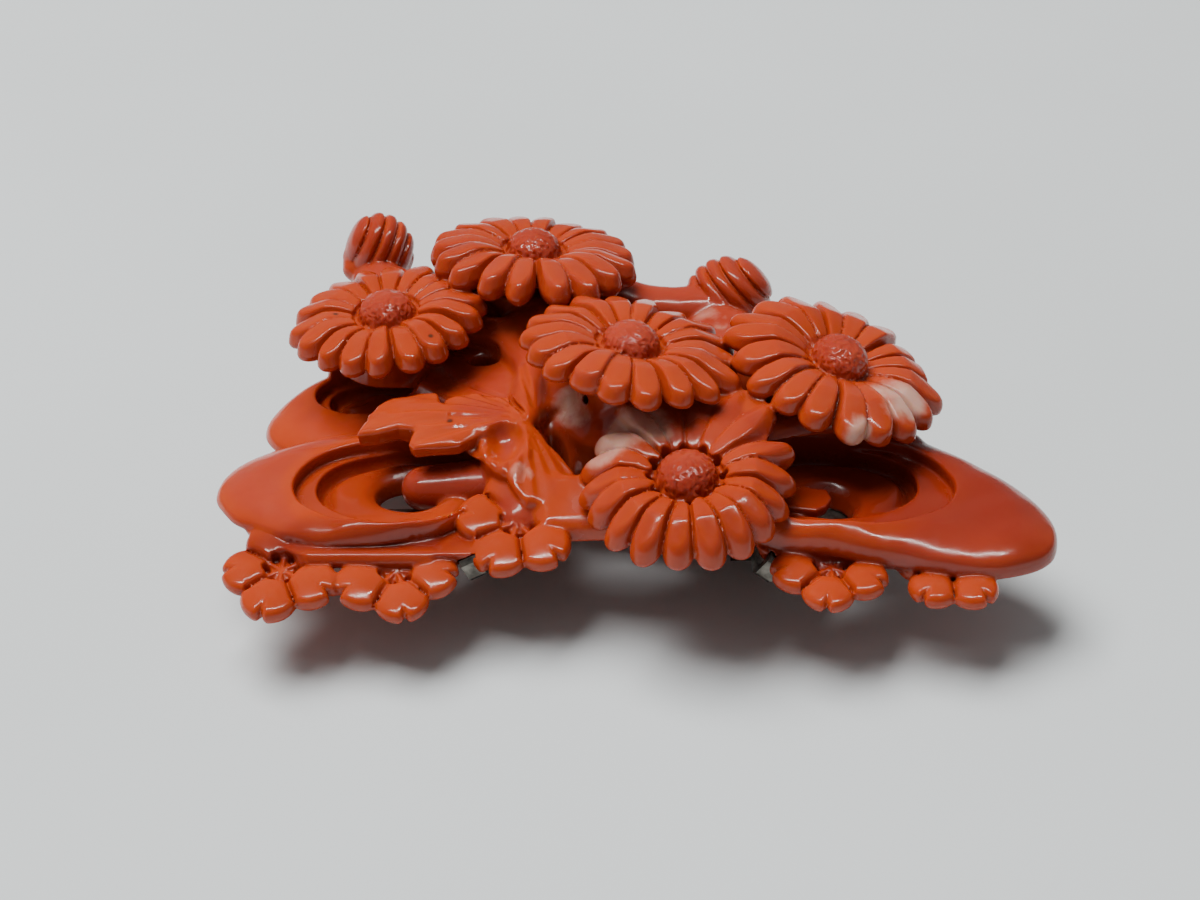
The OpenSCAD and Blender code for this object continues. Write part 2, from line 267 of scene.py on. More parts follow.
def chrysanthemum(r, low, seed, fall=0.34, soft=0.25, far=0.04, dimples=False, dome_z=-0.45, merge=None,
                  odd=()):
    """Distance to a chrysanthemum round the vertical: long petals that rise from a sunk ring to a
    flat crest and end in deep rounded fronts, parted by V cuts, and a rough dome in the middle.
    low is the depth of the undersides, fall how steeply the fronts fall, soft how round their edges
    are, far makes the petals at the back longer, dimples drills holes round the dome, whose
    middle is at dome_z, merge is the direction in which petals reach out flat over what is behind
    them, and odd lists petals of their own length, width, lift or shape."""
    rng = np.random.default_rng(seed)
    length = 1 + 0.025 * rng.uniform(-1, 1, PETALS) + far * np.sin(PITCH * np.arange(PETALS))
    width = 1 + 0.08 * rng.uniform(-1, 1, PETALS)
    lift = 0.13 * rng.uniform(-1, 1, PETALS)
    swing = 0.03 * rng.uniform(-1, 1, PETALS)
    roll = 0.17 * rng.uniform(-1, 1, PETALS)
    square = np.zeros(PETALS, bool)
    falls = np.full(PETALS, fall)
    if merge is not None:
        behind = blend_between(0.2, 0.9, np.cos(PITCH * np.arange(PETALS) - math.radians(merge)))
        length += 0.12 * behind
        falls -= (fall + MERGE_RISE) * behind
    for i, changes in odd:
        length[i] *= changes.get("length", 1)
        width[i] *= changes.get("width", 1)
        lift[i] += changes.get("lift", 0)
        square[i] = changes.get("square", False)
    knee = 0.62 * r
    widest = 0.79 * r
    spread = 0.80 * math.tan(PITCH / 2)
    strokes = dome_strokes(rng)

    def top(u, outer_fall):
        """Height of the crest at u from the middle."""
        beyond = np.maximum(u - knee, 0)
        inward = np.minimum(u - knee, 0)
        return 0.35 - 6.5 * (inward / r)**2 - outer_fall * (np.sqrt(beyond**2 + 0.04) - 0.2)

    def petal(u, v, z, i):
        """Distance to petal i, with u along it and v across."""
        half = widest * spread * width[i]
        tip = r * length[i] - 0.2 - widest
        inner = np.abs(v) - np.maximum(u * spread, 0.05) * width[i]
        du = u - widest
        rounded = ellipse_2d(du, v, tip, half)
        blunt = np.maximum(np.abs(v) - half, du - tip * 0.62)
        edge = np.where(du > 0, np.where(square[i], blunt, rounded), inner)
        high = top(u, falls[i]) + lift[i] + roll[i] * v - 0.09 * (v / half)**2
        depth = high - z
        side = edge - V_CUT * np.clip(depth, 0, 0.9) + V_CUT * np.clip(depth - 1.2, 0, 2)
        shoulder = 0.12 + soft * blend_between(knee, r, u)
        body = smooth_max(side, -depth * 0.9, shoulder)
        return smooth_max(body, -low - z, 0.7)

    def distance(p):
        x, y, z = p.T
        radius, angle = np.hypot(x, y), np.arctan2(y, x)
        sector = np.floor(angle / PITCH)
        petals = np.full(len(p), FAR)
        for side in (0, 1):
            i = (sector + side).astype(int)
            a = angle - i * PITCH - swing[i % PETALS]
            petals = np.minimum(petals, petal(radius * np.cos(a), radius * np.sin(a), z, i % PETALS))
        back = 0 if merge is None else blend_between(0.35, 0.9, np.cos(angle - math.radians(merge)))
        share = np.clip((radius / r - 0.26) / 0.46, 0, 1)
        sunk = 0.30 + 1.2 * share * (1 - back)
        high = top(radius, fall - (fall + MERGE_RISE) * back)
        wide = (0.66 + 0.48 * back) * r + 0.7 * z
        core = smooth_max(radius - wide, (z - high + sunk) * 0.8, 0.3)
        core = smooth_max(core, -low - z, 0.3)
        field = smooth_min(petals, core, 0.25)
        ring = np.hypot(radius - DOME_R - 0.22, z - dome_z - 0.08) - 0.15
        field = smooth_max(field, -ring, 0.25)
        q = np.stack([x, y, (z - dome_z) * DOME_FLAT], -1)
        size = np.linalg.norm(q, axis=1)
        near = np.abs(size - DOME_R) < 0.8
        rough = np.zeros(len(p))
        rough[near] = stroke_share((q / np.maximum(size, 1e-3)[:, None])[near], strokes)
        dome = np.where(z > dome_z, size - DOME_R, radius - DOME_R) + STROKE_DEEP * rough
        dome = smooth_max(dome, dome_z - 1.4 - z, 0.2)
        field = smooth_min(field, dome, 0.12)
        if dimples:
            spacing = 2 * math.pi / DIMPLES
            a = angle - np.round(angle / spacing) * spacing
            u, v = radius * np.cos(a) - DOME_R - DIMPLE_AWAY, radius * np.sin(a)
            dimple = smooth_max(np.hypot(u, v) - DIMPLE_R, dome_z - 0.8 - z, 0.2)
            field = smooth_max(field, -dimple, 0.15)
        return field

    return distance


def blossom(r, seed):
    """Distance to a cherry blossom: five broad notched petals round a middle with six stamens
    and a pit between each two."""
    rng = np.random.default_rng(seed)
    length = 1 + 0.04 * rng.uniform(-1, 1, 5)
    lift = 0.14 * rng.uniform(-1, 1, 5)
    pitch = 2 * math.pi / 5
    spokes = 2 * math.pi / 6
    thick = 1.05

    def petal(u, v, z, i):
        """Distance to petal i, with u along it and v across."""
        reach = r * length[i]
        middle = 0.59 * reach
        outline = ellipse_2d(u - middle, v, 0.42 * reach, 0.45 * reach)
        base = (np.abs(v) - u * 0.70) * 0.82
        outline = np.where(u < middle, np.maximum(outline * 0.6 - 0.02, base), outline)
        notch = (np.abs(v) - (u - 0.90 * reach) * 0.60) * 0.84
        outline = smooth_max(outline, -notch, 0.18)
        away = ((u - middle)**2 + v**2) / (0.43 * r)**2
        fold = 0.05 * np.exp(-(v / 0.14)**2) * blend_between(0.6 * reach, 0.9 * reach, u)
        high = 0.18 + lift[i] + 0.14 * (u / r) - 0.38 * away - fold
        depth = high - z
        side = outline + 0.12 * np.clip(depth - 0.5, 0, thick)
        body = smooth_max(side, -depth * 0.9, 0.5)
        return smooth_max(body, -thick - z, 0.5)

    def distance(p):
        x, y, z = p.T
        radius, angle = np.hypot(x, y), np.arctan2(y, x)
        sector = np.floor(angle / pitch)
        field = np.full(len(p), FAR)
        for side in (0, 1):
            i = (sector + side).astype(int)
            a = angle - i * pitch
            field = smooth_min(field, petal(radius * np.cos(a), radius * np.sin(a), z, i % 5), 0.08)
        core = smooth_max(radius - 0.50 * r, z + 0.40, 0.2)
        core = smooth_max(core, -thick - z, 0.3)
        field = smooth_min(field, core, 0.2)
        well = smooth_max(radius - 0.24 * r, -0.50 - z, 0.25)
        field = smooth_max(field, -well, 0.35)
        a = angle - np.round(angle / spokes) * spokes
        u, v = radius * np.cos(a), radius * np.sin(a)
        stamen = np.hypot(np.hypot(np.clip(u - 0.95, 0, None), v), z + 0.50) - 0.14
        field = smooth_min(field, stamen, 0.15)
        a = angle - (np.round(angle / spokes - 0.5) + 0.5) * spokes
        u, v = radius * np.cos(a) - 0.98, radius * np.sin(a)
        pit = smooth_max(np.hypot(u, v) - 0.22, -0.85 - z, 0.1)
        return smooth_max(field, -pit, 0.15)

    return distance


# Chrysanthemums: place of the middle of the ring of petal tips, tilt, direction of the lean,
# radius, turn, depth of the petals, then what is particular to that flower
FLOWERS = [
    ([-6.7, 10.9, 9.85], 10, 67, 7.4, 4, 2.2, dict(seed=3, far=-0.04, fall=0.24)),
    ([-16.8, 4.2, 8.45], 6, -171, 6.8, 9, 1.9, dict(seed=5)),
    ([0.1, -2.8, 10.05], 9, 23, 7.4, 0, 1.7, dict(seed=8, odd=[
        (12, dict(length=0.96, width=1.08, lift=0.30)), (13, dict(width=1.12, lift=0.18)),
        (14, dict(width=1.10, lift=0.05)), (16, dict(length=1.06)), (17, dict(length=1.07)),
    ])),
    ([14.1, -2.0, 8.2], 18, -14, 7.7, -6, 1.9, dict(seed=13, fall=0.42, dome_z=-0.25, odd=[
        (1, dict(length=0.90, width=0.9, square=True)),
        (2, dict(length=0.88, width=0.9, square=True)),
    ])),
    ([3.5, -12.3, 5.9], 12, -103, 6.9, 2, 2.6, dict(
        seed=21, fall=0.62, soft=0.6, dimples=True, dome_z=-0.55, merge=76,
    )),
]
# Blossoms: place, tilt, direction of the lean, radius, turn
BLOSSOMS = [
    ([-22.3, -15.2, 0.55], 16, -95, 4.0, -33),
    ([-15.0, -15.2, 0.5], 18, -85, 4.0, -6),
    ([-7.3, -12.3, 2.1], 22, -90, 4.2, -46),
    ([12.7, -15.4, 0.95], 8, -90, 3.9, -27),
    ([20.3, -15.2, 0.7], 8, -90, 3.6, -54),
]


# Ribbon loops

# Slope of the undercut below a loop's outer face, and thickness of the band
UNDERCUT = 0.9
BAND_T = 3.4


def ribbon_loop(outline, hollow, ledge, well, crest, drop, direction, face, sink, bottom, more=None):
    """A ribbon loop and the room inside it: a polished band whose crest rolls over into its outer
    face, cut under below, round a hollow with a ledge, a trench and a convex floor that dips into
    a well. outline, hollow, ledge and well are ellipses, each its centre and half axes, and more is
    an ellipse that widens the outline."""
    def own(p, ellipse):
        return ellipse_2d(p[:, 0] - ellipse[0][0], p[:, 1] - ellipse[0][1], *ellipse[1])

    def distance(p):
        z = p[:, 2]
        x, y = turned(p, outline[0], direction)
        stretch = 1 + 0.07 * np.maximum(x / np.hypot(x, y + 1e-3), 0)**6
        edge = ellipse_2d(x / stretch, y / stretch, *outline[1])
        if more:
            edge = smooth_min(edge, own(p, more), 1.0)
        rim = own(p, hollow)
        uneven = 0.06 * np.sin(0.9 * x + 0.5 * y) + 0.04 * np.sin(1.7 * x - 1.2 * y + 2)
        edge = edge + uneven
        high = crest - drop * np.clip(x / outline[1][0], 0, 1) + uneven
        width = np.clip(rim - edge, 0.5, 3.2)
        share = np.clip(-edge / width, 0, 1)
        outward = 1 - np.minimum(share / 0.85, 1)
        roll = 0.65 * outward**1.5 + 0.65 * (1 - np.sqrt(1 - 0.999 * outward**3))
        shell = smooth_max(edge, (z - high + roll) * 0.8, 0.35)
        under = edge + UNDERCUT * (high - face - z)
        shell = smooth_max(shell, under * 0.75, 0.14)
        shell = smooth_max(shell, high - BAND_T - z, 0.3)
        return smooth_max(shell, -room(p, high), 0.25)

    def room(p, high=crest):
        z = p[:, 2]
        ledge_room = smooth_max(own(p, hollow), high - 1.0 - z, 0.2)
        step = own(p, ledge)
        far = blend_between(-0.85, -0.1, (p[:, 1] - ledge[0][1]) / ledge[1][1])
        floor = high - sink - 0.95 * far * np.exp(-((step + 0.45) / 0.55)**2)
        inner_room = smooth_max(step, (floor - z) * 0.8, 0.25)
        hole = smooth_max(own(p, well) - 0.25 * (z - 1.0), bottom - z, 0.3)
        return smooth_min(smooth_min(ledge_room, inner_room, 0.16), hole, 0.8)

    reach = max(outline[1]) * 1.12
    centre = np.array([*outline[0], 0.0])
    low, high = centre - reach, centre + reach
    low[2], high[2] = min(crest - drop - 4, bottom), crest + 0.5
    return (distance, low, high), (room, low, high)


# Ellipses as centre and half axes; crest height, its drop to the pointed end and that end's
# direction; height of the outer face; depth of the floor below the crest; bottom of the well
LOOPS = [
    dict(outline=([-17.9, -8.0], [8.9, 6.3]), hollow=([-15.9, -8.6], [6.2, 4.8]),
         ledge=([-14.9, -8.0], [5.8, 4.2]), well=([-14.6, -8.1], [2.3, 1.9]),
         crest=2.8, drop=0.3, direction=180, face=1.35, sink=1.25, bottom=-1.0),
    dict(outline=([-17.9, 2.2], [7.2, 5.2]), hollow=([-18.0, 3.0], [3.9, 2.8]),
         ledge=([-17.6, 3.2], [3.4, 2.4]), well=([-19.5, 3.9], [1.0, 0.8]),
         crest=2.5, drop=0.5, direction=204, face=1.6, sink=1.15, bottom=1.0),
    dict(outline=([16.6, -8.9], [10.9, 6.4]), hollow=([13.6, -9.1], [7.6, 4.9]),
         ledge=([12.8, -8.2], [6.1, 4.1]), well=([12.9, -9.7], [1.8, 1.9]),
         more=([14.5, -10.2], [8.6, 5.1]),
         crest=3.3, drop=1.1, direction=-24, face=2.1, sink=1.5, bottom=-1.0),
]


# Facets and the leaf

# Fine veins of the leaf: number all round, and depth
FINE_VEINS = 30
FINE_VEIN_DEPTH = 0.07


def polygon_2d(x, y, corners):
    """Signed distance to a closed outline in the plane."""
    best = np.full(len(x), 1e9)
    inside = np.zeros(len(x), bool)
    for (ax, ay), (bx, by) in zip(corners, np.roll(corners, -1, axis=0)):
        ex, ey = bx - ax, by - ay
        t = np.clip(((x - ax) * ex + (y - ay) * ey) / (ex * ex + ey * ey), 0, 1)
        best = np.minimum(best, np.hypot(x - ax - t * ex, y - ay - t * ey))
        crosses = (ay > y) != (by > y)
        if ey:
            inside ^= crosses & (x < ax + (y - ay) * ex / ey)
    return np.where(inside, -best, best)


def facet(corners, height, slope, thick, edge_r=0.22, bend=0.0, hub=None):
    """A carved facet: an outline with straight walls below a flat top that slopes along x and y
    and may bend down towards its edge. height is the top's height at the first corner, edge_r
    the rounding of its edge, and hub the place from which fine veins run out over the top."""
    corners = np.array(corners, float)
    middle = corners.mean(0)

    def distance(p):
        x, y, z = p.T
        edge = polygon_2d(x, y, corners) - 0.15
        high = height + slope[0] * (x - corners[0, 0]) + slope[1] * (y - corners[0, 1])
        high = high - bend * ((x - middle[0])**2 + (y - middle[1])**2)
        if hub:
            dx, dy = x - hub[0], y - hub[1]
            veins = np.cos(FINE_VEINS * np.arctan2(dy, dx)) * np.clip(np.hypot(dx, dy) / 4, 0, 1)
            high = high + FINE_VEIN_DEPTH * veins
        depth = high - z
        side = edge + 0.15 * np.clip(depth - 0.3, 0, 3)
        body = smooth_max(side, -depth * 0.85, edge_r)
        return smooth_max(body, depth - thick, 0.5)

    reach = np.abs(corners - middle).max()
    drop = np.abs(slope).sum() * reach * 2 + thick + 0.6
    low = np.array([*corners.min(0) - 0.4, height - drop])
    high = np.array([*corners.max(0) + 0.4, height + drop - thick])
    return distance, low, high


# The leaf's lobes, body, cup and drooping wing: corners, height at the first, slope, thickness
LEAF = [
    ([[-17.3, -4.8], [-16.8, -3.8], [-16.0, -3.2], [-14.1, -2.6], [-13.0, -2.7], [-12.5, -4.5],
      [-9.5, -4.6], [-9.0, -5.6], [-15.6, -4.9]], 5.7, (0.03, 0), 2.0),
    ([[-17.9, -6.1], [-17.5, -5.2], [-16.8, -4.7], [-12.0, -4.6], [-8.5, -4.9], [-8.0, -6.2],
      [-13.6, -6.3], [-15.3, -5.9], [-16.6, -6.2]], 5.3, (0.06, 0.04), 1.5),
    ([[-14.4, -7.5], [-14.1, -6.3], [-13.4, -5.8], [-8.5, -5.8], [-8.6, -6.6], [-9.9, -6.9],
      [-10.7, -7.5], [-11.2, -7.9], [-12.9, -8.1], [-14.1, -8.0]], 5.25, (0.05, 0.10), 1.2),
    ([[-12.5, -4.5], [-12.3, -3.3], [-11.3, -2.9], [-10.0, -2.7], [-9.0, -3.2], [-8.0, -3.1],
      [-7.2, -5.4], [-7.0, -6.6], [-8.6, -6.8], [-9.9, -6.8], [-12.0, -5.5]], 5.8, (0, 0.05), 2.5),
    ([[-9.9, -6.8], [-9.8, -7.9], [-9.1, -9.0], [-8.4, -9.6], [-7.4, -10.0], [-6.6, -8.0],
      [-6.8, -6.2]], 5.05, (0.10, 0.35), 3.0),
    ([[-7.2, -5.6], [-6.2, -6.2], [-5.5, -7.2], [-4.7, -7.9], [-3.8, -8.9], [-3.3, -10.0],
      [-4.0, -10.9], [-5.4, -11.3], [-6.7, -11.4], [-7.4, -10.8], [-7.8, -10.1], [-7.2, -8.0]],
     5.9, (-0.25, 0.43), 1.8),
]
# Where the leaf's fine veins start
LEAF_HUB = (-7.0, -5.3)
# Creases of the leaf: from, to, radius
LEAF_VEINS = [
    ([-16.6, -4.8, 5.75], [-12.0, -4.6, 6.05], 0.16), ([-13.6, -6.0, 5.75], [-7.8, -6.2, 6.05], 0.18),
    ([-15.6, -3.9, 5.95], [-12.8, -3.8, 6.0], 0.12), ([-11.8, -5.4, 5.8], [-8.0, -5.8, 6.0], 0.14),
    ([-10.6, -0.2, 4.85], [-8.4, -2.2, 5.2], 0.22), ([-8.4, -2.2, 5.2], [-7.0, -5.6, 6.0], 0.22),
    ([-9.8, -3.0, 5.95], [-7.6, -5.4, 6.1], 0.16), ([-7.4, 0.4, 6.2], [-6.4, -4.6, 6.1], 0.24),
    ([-7.0, -6.2, 5.9], [-6.3, -8.2, 5.1], 0.20), ([-6.3, -8.2, 5.1], [-6.0, -10.6, 4.1], 0.16),
]


# Buds

def bud(place, half, slant, pitch, phase, depth):
    """A closed flower seen from its side: an egg cut into slanting petals by sharp flutes.
    pitch is the distance from flute to flute, and phase the share of it that they are moved by."""
    shape, low, high = egg(place, half)
    c, s = math.cos(math.radians(slant)), math.sin(math.radians(slant))

    def distance(p):
        x, z = p[:, 0] - place[0], p[:, 2] - place[2]
        across = (x * c + z * s) / pitch + phase + 0.08 * (p[:, 1] - place[1])
        flute = np.abs(across - np.round(across)) * 2
        rise = blend_between(-0.9, 0.6, z / half[2])
        return (shape(p) + depth * rise * flute**3) * 0.85

    return distance, low, high


# Buds: centre, half axes, slant of the flutes, their pitch, phase and depth
BUDS = [
    bud([-18.4, 17.2, 6.1], [2.6, 2.3, 2.9], -28, 1.0, 0.2, 0.36),
    bud([7.4, 12.4, 4.9], [3.2, 2.5, 3.0], 42, 1.0, 0.35, 0.42),
]


# Ground of the carving

# Pads that carry the flowers: centre, radius, height
PADS = [
    ([-6.8, 10.6], 4.2, 7.4), ([-16.8, 4.8], 3.8, 6.0), ([0.1, -2.3], 4.4, 7.4), ([13.4, -1.6], 4.4, 5.8),
    ([3.4, -9.4], 3.0, 3.2), ([-8.6, -6.0], 3.0, 4.2), ([-7.2, -10.4], 1.6, 1.4),
]
# Stems, branches and rolls: from, to, radius at each end
BARS = [
    ([-18.4, 12.0, 3.8], [-18.6, 16.6, 4.4], 1.9, 1.6),
    ([-15.0, 9.6, 4.2], [-18.0, 14.6, 4.4], 2.4, 1.8),
    ([-20.2, 16.4, 5.0], [-20.4, 17.0, 5.6], 1.0, 0.8),
    ([-18.4, 14.6, 4.2], [-14.2, 12.6, 3.8], 1.7, 2.2), ([-14.2, 12.6, 3.8], [-9.0, 12.4, 4.6], 2.2, 2.4),
    ([-2.4, 12.6, 4.8], [2.2, 11.2, 4.4], 1.9, 1.5), ([2.2, 11.2, 4.4], [6.4, 11.4, 4.2], 1.5, 2.0),
    ([-12.2, 7.6, 5.0], [-8.8, 5.7, 5.3], 1.3, 1.1),
    ([-8.8, 5.7, 5.3], [-6.6, 1.6, 5.1], 1.1, 1.2),
    ([-6.6, 1.6, 5.1], [-7.0, -5.0, 5.1], 1.2, 1.0),
    ([-14.0, -4.8, 3.0], [-9.0, -5.0, 3.4], 1.7, 1.9),
    ([-4.6, -1.4, 2.4], [-0.5, -2.0, 2.6], 2.0, 2.4),
    ([2.6, 2.6, 3.4], [13.0, 1.6, 3.0], 2.2, 2.2),
    ([7.2, 3.4, 3.4], [7.4, 8.8, 3.0], 2.2, 2.4),
    ([6.4, 9.6, 2.6], [4.0, 3.0, 3.4], 2.4, 2.2),
    ([7.6, -4.6, 2.4], [18.6, -4.0, 1.8], 1.9, 1.5),
    ([7.0, -5.4, 3.8], [13.6, -3.6, 4.6], 1.7, 1.9),
    ([5.2, -1.6, 4.6], [9.6, -1.0, 4.8], 2.4, 2.2),
]
# Swellings of the ground: centre, half axes
SWELLS = [
    ([-4.4, 6.5, 5.2], [4.6, 3.2, 2.5]), ([2.8, -6.4, 4.4], [5.2, 3.4, 2.7]),
    ([7.6, -3.6, 4.0], [3.2, 3.2, 2.2]), ([-12.2, 9.0, 4.4], [3.4, 2.6, 2.2]),
    ([-7.0, 11.0, 2.8], [6.0, 3.4, 3.0]), ([12.0, 0.6, 2.6], [4.6, 3.4, 3.0]),
    ([-17.6, 6.2, 2.4], [3.8, 3.6, 2.6]),
]
# Ridges of the ground between two pads: their places in PADS, radius, height
RIDGES = [
    (0, 1, 2.2, 2.6), (0, 2, 2.4, 2.4), (1, 5, 2.2, 2.2), (5, 2, 2.0, 2.8), (2, 3, 2.4, 2.4),
    (2, 4, 2.2, 2.0), (5, 6, 1.9, 0.8),
]
# Openings through the ground: centre, half axes, turn; and the heights that they run between
HOLES = [
    ([-10.1, 3.9], [0.95, 0.8], 0), ([-4.7, -5.8], [1.3, 0.6], -60), ([14.4, -4.9], [0.5, 0.35], 0),
]
HOLE_LOW, HOLE_HIGH = -1, 5.3


def pad(centre, r, h):
    """A post that carries a flower, narrower towards its top."""
    def distance(p):
        radius = np.hypot(p[:, 0] - centre[0], p[:, 1] - centre[1])
        z = p[:, 2]
        wall = radius - r * (1 - 0.16 * z / h)
        return smooth_max(wall, z - h, 0.4)

    centre = np.array(centre)
    return distance, np.array([*centre - r, -1]), np.array([*centre + r, h + 0.5])


def skirt(corners, h):
    """The layer below a loop: an outline with a rounded upper edge."""
    corners = np.array(corners)

    def distance(p):
        x, y, z = p.T
        edge = polygon_2d(x, y, corners) - 1.5
        return smooth_max(edge + 0.35 * np.clip(h - z, 0, 3), z - h, 0.35)

    low, high = corners.min(0) - 1.8, corners.max(0) + 1.8
    return distance, np.array([*low, -0.6]), np.array([*high, h + 0.4])


# The layers below the two front loops: corners, height
SKIRTS = [
    ([[-23.6, -11.4], [-20.8, -13.3], [-10.6, -13.3], [-11.0, -6.0], [-21.5, -6.5]], 1.15),
    ([[9.4, -13.2], [19.6, -13.5], [22.4, -12.7], [20.0, -6.0], [12.0, -6.0]], 1.15),
]


# The block between the leaf and the front flower: corners, height, slope, thickness, rounding
BLOCK = ([[-6.2, -9.4], [1.4, -9.4], [1.4, -12.8], [-5.8, -13.0]], 4.0, (0, 0.52), 1.6, 0.9)
# The ground between the four upper flowers and the leaf, and the wall under the middle flower,
# with the same columns
GROUND = [
    ([[-14.5, 1.0], [-13.5, 5.5], [-12.5, 8.5], [-8.5, 8.4], [-6.0, 6.8], [-3.4, 3.2], [-3.2, -0.5],
      [-4.6, -2.8], [-6.4, -5.0], [-9.0, -3.5], [-12.5, -1.5]], 4.5, (0.06, -0.07), 3.2, 0.8),
    ([[-6.0, -0.8], [-5.2, -4.4], [-2.6, -6.6], [1.6, -8.2], [3.0, -4.0], [-1.0, 0.4]],
     4.9, (0.44, 0.30), 3.0, 0.6),
]
# Coral between the blossoms of each side: from, to, radius
WEBS = [([-20.5, -14.5, 0.6], [-13.0, -14.5, 0.6], 0.6), ([11.0, -14.3, 0.6], [20.0, -14.1, 0.6], 0.6)]
# The roll of coral over the left loop's well: from, to, radius at each end
ROLL = ([-13.7, -7.4, 1.2], [-9.4, -7.4, 1.5], 1.5, 1.8)
# The small petal over the right loop's well: corners, height, slope, thickness
SMALL_PETAL = ([
    [9.0, -10.2], [10.2, -9.2], [11.4, -8.5], [11.9, -8.8], [12.8, -9.0], [13.0, -9.9], [12.6, -10.7],
    [12.0, -11.1], [10.2, -10.8],
], 2.1, (0.03, 0), 1.0)


def hole(centre, half, turn, low, high):
    """An oval opening from one height to another."""
    def distance(p):
        x, y = turned(p, centre, turn)
        z = p[:, 2]
        side = ellipse_2d(x, y, *half)
        return smooth_max(side, np.maximum(low - z, z - high), 0.2)

    centre, reach = np.array(centre), max(half)
    return distance, np.array([*centre - reach, low]), np.array([*centre + reach, high])


# The mount's metal, which the coral stays clear of

GAP = 0.08
# The frame: thickness, half width of its rails, what they are cut wider by, and corners
PLATE_T = 0.8
RAIL_HALF = 1.1
RAIL_SPARE = 0.15
FRAME = [[-19.4, -9.0], [20.0, -9.0], [14.6, -2.0], [7.0, 6.4], [1.6, 10.6], [-12.6, 12.4], [-19.4, 4.6]]
# Foot on a rail, direction, reach, height of the tip over the frame's lower face, lean
CLAWS = [
    ([-9.7, -9.0], -90, 5.7, 1.7, 28), ([8.3, -9.0], -90, 5.8, 1.8, -38),
    ([-17.8, 6.5], 120, 2.4, 2.3, 0), ([13.9, -1.3], 60, 3.9, 2.3, 0),
]
# A claw: half width, thickness, and the half thickness and extra height of its bent tip
CLAW_HALF = 0.625
CLAW_T = 0.45
TIP_HALF = 0.35
TIP_SPARE = 0.1


def rail(a, b):
    """The room for a rail of the frame."""
    a, b = np.array(a), np.array(b)
    along = b - a

    def distance(p):
        t = np.clip((p[:, :2] - a) @ along / (along @ along), 0, 1)
        side = np.linalg.norm(p[:, :2] - a - t[:, None] * along, axis=1) - RAIL_HALF - RAIL_SPARE - GAP
        z = p[:, 2] + GAP + PLATE_T / 2
        return np.maximum(side, np.abs(z) - PLATE_T / 2 - GAP)

    low, high = np.minimum(a, b) - 1.4, np.maximum(a, b) + 1.4
    return distance, np.array([*low, -1.1]), np.array([*high, 0.1])


def claw_room(foot, direction, reach, up, lean):
    """The room for a claw: a strip that runs out from the frame and ends in a bent tip."""
    c, s = math.cos(math.radians(lean)), math.sin(math.radians(lean))

    def distance(p):
        x, y = turned(p, foot, direction)
        z = p[:, 2] + GAP + PLATE_T
        side, height = c * y + s * z, c * z - s * y
        lateral = np.abs(side) - CLAW_HALF - GAP
        strip = np.maximum(np.abs(height - CLAW_T / 2) - CLAW_T / 2 - GAP, x - reach - GAP)
        tip = np.maximum(
            np.abs(x - reach + TIP_HALF) - TIP_HALF - GAP,
            np.abs(height - up / 2) - up / 2 - TIP_SPARE - GAP)
        return np.maximum(lateral, np.minimum(strip, tip))

    middle = np.array([*foot, 0.0])
    return distance, middle - reach - 1.5, middle + reach + 1.5


def carve():
    """All the steps of the carving. The last number of a step is the width over which its form
    runs into what is there."""
    coral = Carving()
    for centre, r, h in PADS:
        coral.add(pad(centre, r, h), 0.8)
    for a, b, r, h in RIDGES:
        coral.add(rod([*PADS[a][0], h - r * 0.4], [*PADS[b][0], h - r * 0.4], r), 1.2)
        coral.add(rod([*PADS[a][0], r * 0.5], [*PADS[b][0], r * 0.5], r), 0.8)
    for a, b, ra, rb in BARS:
        coral.add(rod(a, b, ra, rb), 0.7)
    coral.add(facet(*BLOCK), 0.35)
    for sheet in GROUND:
        coral.add(facet(*sheet), 0.6)
    for place, half in SWELLS:
        coral.add(egg(place, half), 0.8)
    for corners, h in SKIRTS:
        coral.add(skirt(corners, h), 0.3)
    for loop in LOOPS:
        band, room = ribbon_loop(**loop)
        coral.cut(room, 0.2)
        coral.add(band, 0.25)
    coral.add(rod(*ROLL), 0.3)
    # The flat back
    coral.cut((lambda p: p[:, 2], FIELD_LOW, np.array([*FIELD_HIGH[:2], 0.4])), 0.25)
    coral.add(facet(*SMALL_PETAL), 0.15)
    for centre, half, turn in HOLES:
        coral.cut(hole(centre, half, turn, HOLE_LOW, HOLE_HIGH), 0.5)
    for lobe in LEAF:
        coral.add(facet(*lobe, edge_r=0.4, bend=0.02, hub=LEAF_HUB), 0.3)
    # The cup in the leaf
    coral.cut(egg([-8.3, -7.9, 5.7], [1.4, 1.9, 1.6], -15), 0.3)
    for a, b, r in LEAF_VEINS:
        coral.cut(rod(a, b, r, r * 0.6), 0.25)
    for web in WEBS:
        coral.add(rod(*web), 0.3)
    for n, (place, tilt, lean, r, turn) in enumerate(BLOSSOMS):
        coral.add(placed(blossom(r, seed=n), place, r * 1.1, tilt, lean, turn), 0.2)
    for place, tilt, lean, r, turn, thick, own in FLOWERS:
        coral.add(placed(chrysanthemum(r, thick, **own), place, r * 1.1, tilt, lean, turn), 0.25)
    for shape in BUDS:
        coral.add(shape, 0.25)
    # The drilled dimple in the pale wall under the middle flower
    coral.cut(rod([-2.7, -4.2, 6.3], [-2.7, -2.9, 5.1], 0.42), 0.25)
    for a, b in zip(FRAME, FRAME[1:] + FRAME[:1]):
        coral.cut(rail(a, b), 0.05)
    for c in CLAWS:
        coral.cut(claw_room(*c), 0.05)
    return coral


# Meshing and vertex values

# The most that a vertex is moved to lie on the field again after the thinning
MOVE_MOST = 0.05
# How far below the surface thickness is taken, and how far above it openness
THICKNESS_REACH = 1.3
OPENNESS_STEPS = (0.6, 1.9)


